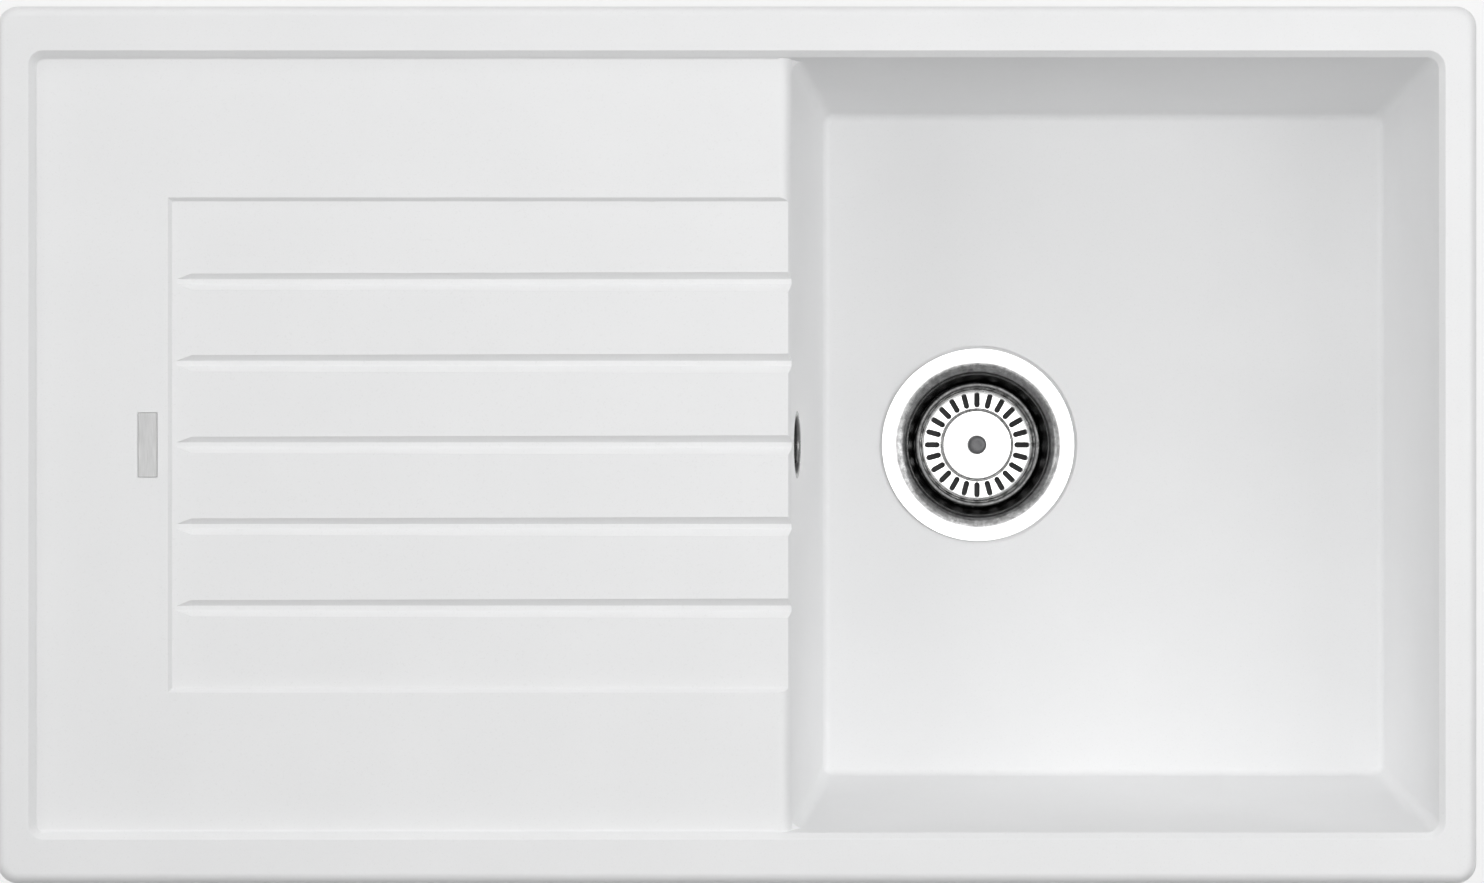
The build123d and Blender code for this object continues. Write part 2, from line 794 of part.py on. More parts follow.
overflow_section = Plane(
    origin=overflow_face.origin, x_dir=(0, 1, 0), z_dir=(sin(lean), 0, -cos(lean))
)
overflow_axis = Axis(overflow_face.origin, into_bowl)
dish_middle = -rosette_dish - sheet / 2
with BuildPart() as overflow_rosette:
    add(
        sheet_ring(
            overflow_section,
            overflow_axis,
            [
                (rosette_r, -sheet / 2),
                (rosette_wall_r, -sheet / 2),
                (rosette_wall_r, dish_middle),
                (overflow_screw_r + sheet / 4, dish_middle),
            ],
            [rosette_bend, rosette_bend],
            sheet,
        )
    )
    with BuildSketch(overflow_face):
        with PolarLocations((rosette_slot_inner_r + rosette_slot_outer_r) / 2, rosette_slots):
            SlotOverall(rosette_slot_outer_r - rosette_slot_inner_r, rosette_slot_width)
    extrude(amount=-2 * rosette_dish, mode=Mode.SUBTRACT)
finish(overflow_rosette, "overflow_rosette")

screw_seat = -rosette_dish
with BuildPart() as overflow_screw:
    with BuildSketch(overflow_face.offset(screw_seat)):
        Circle(overflow_screw_head_r)
    extrude(amount=overflow_screw_head_height)
    fillet(overflow_screw.edges().sort_by(overflow_axis)[-1], overflow_screw_head_height / 2)
    with BuildSketch(overflow_face.offset(screw_seat)):
        Circle(overflow_screw_r)
    extrude(amount=-overflow_screw_length)
finish(overflow_screw, "overflow_screw")

with BuildPart() as overflow_gasket:
    with BuildSketch(overflow_face.offset(-wall_across)):
        Circle(elbow_flange_r)
        Circle(overflow_hole_r, mode=Mode.SUBTRACT)
    extrude(amount=-overflow_gasket_thickness)
finish(overflow_gasket, "overflow_gasket")

elbow_face = -wall_across - overflow_gasket_thickness
elbow_axis_height = overflow_height - (left_wall(overflow_height) - hose_x) * tan(lean)
passage_top = elbow_axis_height - (elbow_post_r + elbow_r) / 2
with BuildPart() as overflow_elbow:
    with BuildSketch(overflow_face.offset(elbow_face)):
        Circle(elbow_flange_r)
    extrude(amount=-elbow_flange_thickness)
    with BuildSketch(overflow_face.offset(elbow_face)):
        Circle(elbow_r + elbow_wall)
    extrude(amount=-elbow_depth - elbow_wall)
    with BuildSketch(upper_socket):
        Circle(socket_r)
    extrude(amount=upper_socket_end - passage_top)
    with BuildSketch(overflow_face.offset(elbow_face)):
        Circle(elbow_r)
        Circle(elbow_post_r, mode=Mode.SUBTRACT)
    extrude(amount=-elbow_depth, mode=Mode.SUBTRACT)
    with BuildSketch(overflow_face.offset(elbow_face)):
        Circle(overflow_screw_r)
    extrude(amount=-elbow_depth, mode=Mode.SUBTRACT)
    with BuildSketch(upper_socket):
        Circle(socket_passage_r)
    extrude(amount=upper_socket_end - passage_top, mode=Mode.SUBTRACT)
    with BuildSketch(upper_socket):
        Circle(hose_r + fit_gap)
    extrude(amount=-hose_insert, mode=Mode.SUBTRACT)
finish(overflow_elbow, "overflow_elbow")

# Hose: straight down from the elbow, one bend, and straight into the waste body
hose_top = upper_socket_end + hose_insert
bend_top = hose_level + hose_bend_r
bend_end_x = hose_x + hose_bend_r
hose_end_x = lower_socket_end + hose_insert
drop_run = hose_top - bend_top
bend_run = hose_bend_r * pi / 2
hose_length = drop_run + bend_run + hose_end_x - bend_end_x
rib_count = round(hose_length / hose_pitch)
rib_pitch = hose_length / rib_count


def hose_plane(along):
    """The plane across the hose at a length along it, its X axis always on the object's Y."""
    turn = min(max((along - drop_run) / hose_bend_r, 0), pi / 2)
    x = hose_x + hose_bend_r * (1 - cos(turn)) + max(along - drop_run - bend_run, 0)
    z = hose_top - min(along, drop_run) - hose_bend_r * sin(turn)
    return Plane(origin=(x, 0, z), x_dir=(0, 1, 0), z_dir=(sin(turn), 0, -cos(turn)))


# One rib is root, root, crest, crest
rib_form = ((0, hose_root_r), (0.3, hose_root_r), (0.5, hose_r), (0.8, hose_r))
hose_rings = [((rib + at) * rib_pitch, r) for rib in range(rib_count) for at, r in rib_form]
hose_rings.append((hose_length, hose_root_r))
with BuildPart() as overflow_hose:
    for along, radius in hose_rings:
        with BuildSketch(hose_plane(along)):
            Circle(radius)
    loft(ruled=True)
    with BuildLine() as hose_route:
        Line((hose_x, 0, hose_top), (hose_x, 0, bend_top))
        ThreePointArc(
            (hose_x, 0, bend_top),
            hose_plane(drop_run + bend_run / 2).origin,
            (bend_end_x, 0, hose_level),
        )
        Line((bend_end_x, 0, hose_level), (hose_end_x, 0, hose_level))
    with BuildSketch(hose_plane(0)):
        Circle(hose_bore_r)
    sweep(path=hose_route.wires()[0], mode=Mode.SUBTRACT)
finish(overflow_hose, "overflow_hose")
print("hose", round(hose_length, 1), "mm long with", rib_count, "ribs")

nut_r = socket_r + clamp_clearance + nut_wall
for place, socket in (("top", upper_socket), ("bottom", lower_socket)):
    with BuildPart() as hose_washer:
        with BuildSketch(socket):
            Circle(socket_r)
            Circle(hose_r + fit_gap, mode=Mode.SUBTRACT)
        extrude(amount=washer_thickness)
    finish(hose_washer, f"hose_washer_{place}")

    with BuildPart() as hose_nut:
        with BuildSketch(socket.offset(washer_thickness + nut_lip)):
            Circle(nut_r)
            with PolarLocations(nut_r + nut_grip_r / 2, nut_grips):
                Circle(nut_grip_r, mode=Mode.SUBTRACT)
            Circle(hose_r + fit_gap, mode=Mode.SUBTRACT)
        extrude(amount=-nut_length)
        with BuildSketch(socket.offset(washer_thickness)):
            Circle(socket_r + clamp_clearance)
        extrude(amount=-nut_length, mode=Mode.SUBTRACT)
    finish(hose_nut, f"hose_nut_{place}")

# ---------------------------------------------------------------- fixing clips

with BuildPart() as clip_dowels:
    with BuildSketch(Plane.XY.offset(-boss_depth)):
        with Locations(clip_places):
            Circle(dowel_r)
            Circle(clip_screw_r + clip_fit, mode=Mode.SUBTRACT)
    extrude(amount=dowel_length)
finish(clip_dowels, "clip_dowels")

claw_top = -worktop - claw_tooth
claw_under = claw_top - claw_thickness
for number, (x, y) in enumerate(clip_places, start=1):
    outward = 1 if y > 0 else -1
    with BuildPart() as clip_screw:
        with BuildSketch(Plane(origin=(x, y, claw_under))):
            Circle(clip_screw_r)
        extrude(amount=clip_shank)
        with BuildSketch(Plane(origin=(x, y, claw_under))):
            Circle(clip_head_r)
        extrude(amount=-clip_head_height)
        with BuildSketch(Plane(origin=(x, y, claw_under - clip_head_height))):
            RegularPolygon(clip_key / 2, 6, major_radius=False)
        extrude(amount=clip_key_depth, mode=Mode.SUBTRACT)
    finish(clip_screw, f"clip_screw_{number}")

    with BuildPart() as clip_claw:
        with BuildSketch(Plane(origin=(x, y, 0), x_dir=(0, outward, 0), z_dir=(outward, 0, 0))):
            Polygon(
                (-claw_inner, claw_under),
                (claw_outer, claw_under),
                (claw_outer, claw_top + claw_tooth),
                (claw_outer - claw_thickness, claw_top + claw_tooth),
                (claw_outer - claw_thickness, claw_top),
                (claw_thickness - claw_inner, claw_top),
                (claw_thickness - claw_inner, claw_top + claw_heel),
                (-claw_inner, claw_top + claw_heel),
                align=None,
            )
        extrude(amount=claw_width / 2, both=True)
        with BuildSketch(Plane(origin=(x, y, claw_under))):
            Circle(clip_screw_r + clip_fit)
        extrude(amount=claw_thickness, mode=Mode.SUBTRACT)
    finish(clip_claw, f"clip_claw_{number}")
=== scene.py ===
import math

import bmesh
import bpy
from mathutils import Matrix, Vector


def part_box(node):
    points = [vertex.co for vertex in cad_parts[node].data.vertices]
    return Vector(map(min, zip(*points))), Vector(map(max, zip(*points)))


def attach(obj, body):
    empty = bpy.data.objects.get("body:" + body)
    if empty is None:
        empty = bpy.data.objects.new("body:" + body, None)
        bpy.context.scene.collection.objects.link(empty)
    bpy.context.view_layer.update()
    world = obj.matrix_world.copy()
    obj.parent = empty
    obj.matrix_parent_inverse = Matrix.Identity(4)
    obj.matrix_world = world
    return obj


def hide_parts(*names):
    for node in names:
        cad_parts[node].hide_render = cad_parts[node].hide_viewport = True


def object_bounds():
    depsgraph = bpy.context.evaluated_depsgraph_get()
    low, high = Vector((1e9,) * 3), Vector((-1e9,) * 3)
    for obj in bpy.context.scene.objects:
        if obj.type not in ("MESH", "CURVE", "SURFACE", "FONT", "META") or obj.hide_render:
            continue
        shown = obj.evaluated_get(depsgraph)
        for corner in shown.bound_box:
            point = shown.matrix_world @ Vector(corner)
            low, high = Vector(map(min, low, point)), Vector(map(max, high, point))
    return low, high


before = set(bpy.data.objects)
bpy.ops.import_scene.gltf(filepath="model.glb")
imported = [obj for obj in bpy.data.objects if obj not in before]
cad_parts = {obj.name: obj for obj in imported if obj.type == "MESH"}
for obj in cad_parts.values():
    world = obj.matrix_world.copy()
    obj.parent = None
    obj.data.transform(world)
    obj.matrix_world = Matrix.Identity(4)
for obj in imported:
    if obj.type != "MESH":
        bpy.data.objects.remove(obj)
cad_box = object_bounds()

# ------------------------------------------------------------------ the moulded sink
# One casting of white quartz composite: rim, sunken drainboard with its grooved panel, and
# the deep bowl. The mould leaves a fine satin grain with the quartz just showing in it.


def new_finish(name, colour, roughness, metallic=0.0):
    """A material for one finish, with its colour, gloss and metal set on the shader."""
    finish = bpy.data.materials.new(name)
    finish.use_nodes = True
    shader = finish.node_tree.nodes["Principled BSDF"]
    shader.inputs["Base Color"].default_value = (*colour, 1)
    shader.inputs["Roughness"].default_value = roughness
    shader.inputs["Metallic"].default_value = metallic
    return finish, finish.node_tree, shader


def place_of(tree, centre=(0, 0, 0), stretch=(1, 1, 1)):
    """The object's own coordinates, counted from a point on the piece."""
    coordinates = tree.nodes.new("ShaderNodeTexCoord")
    mapping = tree.nodes.new("ShaderNodeMapping")
    mapping.vector_type = "POINT"
    mapping.inputs["Location"].default_value = [-c * s for c, s in zip(centre, stretch)]
    mapping.inputs["Scale"].default_value = stretch
    tree.links.new(coordinates.outputs["Object"], mapping.inputs["Vector"])
    return mapping.outputs["Vector"]


def noise(tree, place, scale, detail=3.0, soft=0.5):
    """Cloudy grain of one size: scale is in grains per metre."""
    grain = tree.nodes.new("ShaderNodeTexNoise")
    grain.inputs["Scale"].default_value = scale
    grain.inputs["Detail"].default_value = detail
    grain.inputs["Roughness"].default_value = soft
    tree.links.new(place, grain.inputs["Vector"])
    return grain.outputs["Fac"]


def spread(tree, value, low, high, to_low, to_high):
    """Maps a stretch of a value onto another stretch."""
    change = tree.nodes.new("ShaderNodeMapRange")
    for name, number in (
        ("From Min", low), ("From Max", high), ("To Min", to_low), ("To Max", to_high)
    ):
        change.inputs[name].default_value = number
    tree.links.new(value, change.inputs["Value"])
    return change.outputs["Result"]


def blend_colours(tree, factor, first, second):
    """Mixes two colours by a factor; either colour may come from another node."""
    mix = tree.nodes.new("ShaderNodeMix")
    mix.data_type = "RGBA"
    tree.links.new(factor, mix.inputs["Factor"])
    for socket, colour in ((mix.inputs[6], first), (mix.inputs[7], second)):
        if isinstance(colour, tuple):
            socket.default_value = (*colour, 1)
        else:
            tree.links.new(colour, socket)
    return mix.outputs[2]


def raise_surface(tree, shader, height, distance, over=None):
    """Gives a surface relief of a real height in metres."""
    bump = tree.nodes.new("ShaderNodeBump")
    bump.inputs["Distance"].default_value = distance
    tree.links.new(height, bump.inputs["Height"])
    if over is not None:
        tree.links.new(over, bump.inputs["Normal"])
    tree.links.new(bump.outputs["Normal"], shader.inputs["Normal"])
    return bump.outputs["Normal"]


def dress(node, finish):
    """Puts a finish on a piece of the frame."""
    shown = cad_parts[node]
    if not shown.material_slots:
        shown.data.materials.append(finish)
    for slot in shown.material_slots:
        slot.material = finish


composite_white = (0.88, 0.883, 0.887)
composite_cooler = (0.872, 0.875, 0.879)
composite_lighter = (0.888, 0.89, 0.894)
quartz_white = (0.92, 0.92, 0.92)
pore_grey = (0.78, 0.78, 0.78)

composite, tree, shader = new_finish("cast composite", composite_white, 0.42)
place = place_of(tree)
clouds = spread(tree, noise(tree, place, 14.0, 2.0), 0.3, 0.7, 0.0, 1.0)
body_colour = blend_colours(tree, clouds, composite_cooler, composite_lighter)
quartz = spread(tree, noise(tree, place, 1500.0, 1.0), 0.62, 0.7, 0.0, 0.35)
grained = blend_colours(tree, quartz, body_colour, quartz_white)
pores = spread(tree, noise(tree, place, 900.0, 1.0), 0.3, 0.36, 0.3, 0.0)
tree.links.new(blend_colours(tree, pores, grained, pore_grey), shader.inputs["Base Color"])
tree.links.new(
    spread(tree, noise(tree, place, 300.0, 2.0), 0.3, 0.7, 0.38, 0.47), shader.inputs["Roughness"]
)
fine = raise_surface(tree, shader, noise(tree, place, 1800.0, 2.0), 0.00004)
raise_surface(tree, shader, noise(tree, place, 60.0, 1.0), 0.00012, over=fine)
dress("sink_body", composite)

# ------------------------------------------------------------------ the plain plate
# A small plate of satin-ground steel, glued into a shallow recess at the drainboard's end.

along_plate = (1, 0.04, 1)  # draws the grinding marks out along Y

plate_steel, tree, shader = new_finish("ground steel", (0.43, 0.43, 0.43), 0.38, 1.0)
place = place_of(tree, stretch=along_plate)
grain = spread(tree, noise(tree, place, 2400.0, 3.0), 0.3, 0.7, 0.0, 1.0)
tree.links.new(
    blend_colours(tree, grain, (0.39, 0.39, 0.39), (0.47, 0.47, 0.47)), shader.inputs["Base Color"]
)
tree.links.new(spread(tree, grain, 0.0, 1.0, 0.32, 0.46), shader.inputs["Roughness"])
raise_surface(tree, shader, grain, 0.000006)
dress("plain_plate", plate_steel)

# ------------------------------------------------------------------ the seal in the rim
# Closed-cell foam strip, glued into the groove under the rim, that the worktop squeezes.

foam, tree, shader = new_finish("foam strip", (0.14, 0.14, 0.15), 0.9)
place = place_of(tree)
cells = tree.nodes.new("ShaderNodeTexVoronoi")
cells.inputs["Scale"].default_value = 1400.0
tree.links.new(place, cells.inputs["Vector"])
tree.links.new(
    blend_colours(tree, cells.outputs["Distance"], (0.1, 0.1, 0.11), (0.19, 0.19, 0.2)),
    shader.inputs["Base Color"],
)
raise_surface(tree, shader, cells.outputs["Distance"], 0.0002)
dress("rim_seal", foam)

# ------------------------------------------------------------------ the strainer's flange
# Pressed stainless steel, polished on a lathe: its finest marks run round the drain.

drain_x = 0.1444
drain_axis = (drain_x, 0, 0)
flange_plain_r = 0.0505  # steel's own colour outside this radius
flange_painted_dark_r = 0.0488  # painted dark reflection inside this one, on the cup's wall


def reach_from(tree, centre):
    """The distance from an upright axis, in metres."""
    reach = tree.nodes.new("ShaderNodeVectorMath")
    reach.operation = "LENGTH"
    tree.links.new(place_of(tree, centre, (1, 1, 0)), reach.inputs[0])
    return reach.outputs["Value"]


def steel_finish(name, centre, colour, shine, marks=2600.0):
    """Polished sheet steel with turning marks round an upright axis."""
    steel, tree, shader = new_finish(name, colour, shine, 1.0)
    round_about = tree.nodes.new("ShaderNodeTexWave")
    round_about.wave_type = "RINGS"
    round_about.rings_direction = "Z"
    round_about.inputs["Scale"].default_value = marks
    round_about.inputs["Distortion"].default_value = 3.0
    round_about.inputs["Detail"].default_value = 2.0
    tree.links.new(place_of(tree, centre), round_about.inputs["Vector"])
    smears = noise(tree, place_of(tree, centre), 90.0, 3.0)
    tree.links.new(
        spread(tree, smears, 0.3, 0.7, shine * 0.8, shine * 1.35), shader.inputs["Roughness"]
    )
    smeared = blend_colours(
        tree, spread(tree, smears, 0.35, 0.75, 0.0, 1.0), colour, tuple(c * 0.95 for c in colour)
    )
    tree.links.new(smeared, shader.inputs["Base Color"])
    raise_surface(tree, shader, round_about.outputs["Fac"], 0.000004)
    return steel, tree, shader, smeared


def paint_dark_reflection_past(steel, centre, bright_to, dark_from, dark):
    """Paints the steel's colour dark, with a mottle, on one side of a radius: a painted dark
    reflection.
    """
    _, tree, shader, smeared = steel
    reach = reach_from(tree, centre)
    dark_mottle = spread(tree, noise(tree, place_of(tree, centre), 260.0, 4.0, 0.7), 0.35, 0.7, 0.0, 1.0)
    painted_dark_reflection = blend_colours(tree, dark_mottle, dark, tuple(c * 2.4 for c in dark))
    tree.links.new(
        blend_colours(
            tree, spread(tree, reach, bright_to, dark_from, 0.0, 1.0), smeared, painted_dark_reflection
        ),
        shader.inputs["Base Color"],
    )


polished = steel_finish("polished steel", drain_axis, (0.88, 0.88, 0.875), 0.2)
# The cup's wall, inside the second radius, gets a painted dark reflection in its colour.
paint_dark_reflection_past(polished, drain_axis, flange_plain_r, flange_painted_dark_r, (0.13, 0.13, 0.13))
dress("drain_flange", polished[0])

# ------------------------------------------------------------------ seals and gaskets
# Moulded black rubber with a faint bloom: under the flange and the sink, behind the overflow,
# in the hose's two unions, and the ring and disc of the basket.

rubber, tree, shader = new_finish("black rubber", (0.035, 0.035, 0.036), 0.7)
place = place_of(tree)
bloom = spread(tree, noise(tree, place, 120.0, 4.0), 0.45, 0.75, 0.0, 0.6)
tree.links.new(
    blend_colours(tree, bloom, (0.032, 0.032, 0.033), (0.075, 0.075, 0.077)),
    shader.inputs["Base Color"],
)
tree.links.new(spread(tree, bloom, 0.0, 0.6, 0.6, 0.82), shader.inputs["Roughness"])
raise_surface(tree, shader, noise(tree, place, 2500.0, 2.0), 0.00003)
for node in (
    "flange_seal", "body_gasket", "overflow_gasket", "hose_washer_top", "hose_washer_bottom",
    "stem_ring", "basket_seal",
):
    dress(node, rubber)

# ------------------------------------------------------------------ the basket
# Pressed from thinner steel, slotted and drilled, with a raised middle. Its stem, a grey
# turned knob and the rubber disc below it are one unit that lifts out by hand.

basket_plain_r = 0.0322  # steel's own colour inside this radius
basket_painted_dark_r = 0.0334  # painted dark reflection outside this one, on the wall and rim

basket_steel = steel_finish("basket steel", drain_axis, (0.93, 0.93, 0.925), 0.24, 3400.0)
# The basket's wall and rim get a painted dark reflection in their colour.
paint_dark_reflection_past(basket_steel, drain_axis, basket_plain_r, basket_painted_dark_r, (0.07, 0.07, 0.07))
stem_steel = steel_finish("stem steel", drain_axis, (0.7, 0.7, 0.69), 0.28)[0]
dress("basket_shell", basket_steel[0])
dress("basket_stem", stem_steel)

retainer_plastic, tree, shader = new_finish("retainer plastic", (0.72, 0.72, 0.71), 0.45)
place = place_of(tree)
tree.links.new(
    blend_colours(
        tree, noise(tree, place, 70.0, 3.0), (0.69, 0.69, 0.68), (0.75, 0.75, 0.74)
    ),
    shader.inputs["Base Color"],
)
raise_surface(tree, shader, noise(tree, place, 1800.0, 2.0), 0.00002)
dress("seal_retainer", retainer_plastic)


def add_piece(name, add, **size):
    """Adds a primitive at its size and place, alone and selected, with its place in its mesh."""
    bpy.ops.object.select_all(action="DESELECT")
    add(**size)
    piece = bpy.context.object
    piece.name = name
    piece.data.name = name
    bpy.ops.object.transform_apply(location=True, rotation=True, scale=True)
    return piece


def pick_top(piece):
    """In edit mode, selects the faces that look up."""
    bpy.ops.mesh.select_mode(type="FACE")
    bpy.ops.mesh.select_all(action="DESELECT")
    mesh = bmesh.from_edit_mesh(piece.data)
    for face in mesh.faces:
        face.select_set(face.normal.z > 0.9)
    mesh.select_flush_mode()
    bmesh.update_edit_mesh(piece.data)


def grow(up, wider, centre):
    """Extrudes what is selected upwards and scales it about the piece's axis."""
    bpy.ops.mesh.extrude_region_move(TRANSFORM_OT_translate={"value": (0, 0, up)})
    bpy.ops.transform.resize(value=(wider, wider, 1), center_override=centre)


low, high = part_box("basket_knob")
knob_r = (high.x - low.x) / 2
knob_foot = 0.0016  # height of the foot
knob_profile = (  # from the foot through the waist to the dished top: up, and times as wide
    (0.0008, 0.82), (0.0014, 0.84), (0.0022, 0.98), (0.0014, 1.1), (0.0012, 1.16), (0.0010, 1.11),
    (0.0022, 1.0), (0.0010, 0.985), (0.0008, 0.94), (0.0006, 0.84), (0.0003, 0.7),
    (-0.0002, 0.7), (-0.0001, 0.4),
)
knob = add_piece(
    "knob",
    bpy.ops.mesh.primitive_cylinder_add,
    vertices=64,
    radius=knob_r,
    depth=knob_foot,
    location=(drain_x, 0, low.z + knob_foot / 2),
)
bpy.ops.object.mode_set(mode="EDIT")
pick_top(knob)
for up, wider in knob_profile:
    grow(up, wider, drain_axis)
bpy.ops.object.mode_set(mode="OBJECT")
bpy.ops.object.shade_smooth_by_angle(angle=math.radians(50))

knob_plastic, tree, shader = new_finish("knob plastic", (0.14, 0.14, 0.145), 0.3)
place = place_of(tree, drain_axis)
tree.links.new(
    blend_colours(
        tree, noise(tree, place, 400.0, 3.0), (0.12, 0.12, 0.125), (0.165, 0.165, 0.17)
    ),
    shader.inputs["Base Color"],
)
tree.links.new(
    spread(tree, noise(tree, place, 900.0, 2.0), 0.3, 0.7, 0.26, 0.38), shader.inputs["Roughness"]
)
knob.data.materials.append(knob_plastic)
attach(knob, "basket")
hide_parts("basket_knob")

# ------------------------------------------------------------------ the waste body
# Injection-moulded white plastic below the bowl, in a chamber and a cone that are welded
# together. The long screw through the strainer pulls on the bridge in the chamber. The
# outlet carries a coarse thread for the trap's nut.

waste_plastic, tree, shader = new_finish("waste plastic", (0.8, 0.8, 0.79), 0.38)
place = place_of(tree)
flow = spread(tree, noise(tree, place, 22.0, 3.0), 0.3, 0.7, 0.0, 1.0)
tree.links.new(
    blend_colours(tree, flow, (0.77, 0.77, 0.755), (0.83, 0.83, 0.82)),
    shader.inputs["Base Color"],
)
tree.links.new(
    spread(tree, noise(tree, place, 160.0, 2.0), 0.3, 0.7, 0.33, 0.44), shader.inputs["Roughness"]
)
raise_surface(tree, shader, noise(tree, place, 1200.0, 2.0), 0.00003)
for node in ("waste_body", "outlet_cone", "clamp_bridge", "overflow_elbow"):
    dress(node, waste_plastic)

brass, tree, shader = new_finish("turned brass", (0.76, 0.6, 0.33), 0.32, 1.0)
place = place_of(tree)
tree.links.new(
    blend_colours(tree, noise(tree, place, 300.0, 3.0), (0.72, 0.55, 0.29), (0.8, 0.65, 0.38)),
    shader.inputs["Base Color"],
)
tree.links.new(
    spread(tree, noise(tree, place, 700.0, 2.0), 0.3, 0.7, 0.25, 0.42), shader.inputs["Roughness"]
)
dress("clamp_nut", brass)
dress("clip_dowels", brass)
dress("clamp_screw", stem_steel)

outlet_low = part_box("outlet_cone")[0].z
outlet_r = 0.0239
thread_pitch = 0.0023
thread_turns = 8
thread_plain = 0.0022  # from the outlet's end to the thread
ridge_r = 0.0009  # of the circle through the ridge's three corners
ridge_sunk = 0.0003  # how far the ridge's middle lies in the outlet's wall
thread = add_piece(
    "outlet_thread",
    bpy.ops.mesh.primitive_circle_add,
    vertices=3,
    radius=ridge_r,
    fill_type="NOTHING",
    rotation=(math.pi / 2, 0, 0),
)
bpy.ops.transform.translate(value=(outlet_r - ridge_sunk, 0, 0))
bpy.ops.object.transform_apply(location=True, rotation=True, scale=True)
winding = thread.modifiers.new("winding", "SCREW")
winding.axis = "Z"
winding.steps = 72
winding.render_steps = 72
winding.iterations = thread_turns
winding.screw_offset = thread_pitch
winding.use_merge_vertices = False
bpy.ops.object.modifier_apply(modifier="winding")
bpy.ops.transform.translate(value=(drain_x, 0, outlet_low + thread_plain))
bpy.ops.object.transform_apply(location=True, rotation=True, scale=True)
bpy.ops.object.mode_set(mode="EDIT")
bpy.ops.mesh.select_all(action="SELECT")
bpy.ops.mesh.fill_holes(sides=3)
bpy.ops.mesh.normals_make_consistent(inside=False)
bpy.ops.object.mode_set(mode="OBJECT")
bpy.ops.object.shade_smooth_by_angle(angle=math.radians(35))
thread.data.materials.append(waste_plastic)
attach(thread, "sink")

# ------------------------------------------------------------------ the overflow
# A dished and slotted steel rosette in the bowl's left wall, held by one domed screw that runs
# through the wall into the elbow behind it. Its colour is darker than real steel, and darker
# still in its dish: painted shade for the shade inside the overflow's hole.

wall_lean = math.atan(0.021 / 0.19)  # the wall moves in 21 mm over the bowl's 190 mm
overflow_centre = (0.03525, 0, -0.034)  # on the wall's face
dish_shade_from = -0.0004  # the painted shade starts on the ring, in front of the wall's face
dish_full_shade = 0.0008  # full painted shade from this far behind it

rosette_steel, tree, shader = new_finish("rosette steel", (0.42, 0.42, 0.42), 0.3, 1.0)
place = place_of(tree, overflow_centre)
tree.links.new(
    spread(tree, noise(tree, place, 150.0, 3.0), 0.3, 0.7, 0.24, 0.38), shader.inputs["Roughness"]
)
# Painted shade: the ring's colour is darker than real steel, and the dish's colour darker still.
ring_steel = blend_colours(
    tree, noise(tree, place, 60.0, 2.0), (0.38, 0.38, 0.38), (0.46, 0.46, 0.46)
)
dish_painted_shade = blend_colours(
    tree, noise(tree, place, 300.0, 3.0), (0.09, 0.09, 0.09), (0.18, 0.18, 0.18)
)
depth = tree.nodes.new("ShaderNodeVectorMath")
depth.operation = "DOT_PRODUCT"
depth.inputs[1].default_value = (-math.cos(wall_lean), 0, -math.sin(wall_lean))
tree.links.new(place, depth.inputs[0])
in_dish_shade = spread(tree, depth.outputs["Value"], dish_shade_from, dish_full_shade, 0.0, 1.0)
tree.links.new(blend_colours(tree, in_dish_shade, ring_steel, dish_painted_shade), shader.inputs["Base Color"])
dress("overflow_rosette", rosette_steel)
dress("overflow_screw", rosette_steel)

# ------------------------------------------------------------------ the overflow hose
# Corrugated polypropylene, blown in a mould, with a straight end in each union. Round nuts
# with gripping flutes press a rubber ring against it.

hose_r = 0.013  # over the ribs
hose_root_r = 0.0112
hose_pitch = 0.00497
hose_ribs = 40
rib_rises = (0.02, 0.16, 0.55, 0.9, 1.0, 1.0, 0.9, 0.55, 0.16, 0.0)  # of one rib, in equal steps
rib_merge = 0.00002
hose_top = -0.069
hose_x = 0.008
hose_level = -0.216
hose_bend_r = 0.045
hose_end_x = 0.079
hose_wall = 0.0014
round_handle = 0.5523  # handle length that makes a curve's quarter turn round, in radii

hose = add_piece(
    "hose",
    bpy.ops.mesh.primitive_circle_add,
    vertices=48,
    radius=hose_root_r,
    fill_type="NOTHING",
)
bpy.ops.object.mode_set(mode="EDIT")
bpy.ops.mesh.select_mode(type="EDGE")
bpy.ops.mesh.select_all(action="SELECT")
ring_r = hose_root_r
for rise in rib_rises:
    next_r = hose_root_r + (hose_r - hose_root_r) * rise
    grow(hose_pitch / len(rib_rises), next_r / ring_r, (0, 0, 0))
    ring_r = next_r
bpy.ops.object.mode_set(mode="OBJECT")
ribs = hose.modifiers.new("ribs", "ARRAY")
ribs.count = hose_ribs
ribs.use_relative_offset = False
ribs.use_constant_offset = True
ribs.constant_offset_displace = (0, 0, hose_pitch)
ribs.use_merge_vertices = True
ribs.merge_threshold = rib_merge
bpy.ops.object.modifier_apply(modifier="ribs")
bpy.ops.object.mode_set(mode="EDIT")
bpy.ops.mesh.select_all(action="SELECT")
bpy.ops.mesh.normals_make_consistent(inside=False)
bpy.ops.object.mode_set(mode="OBJECT")

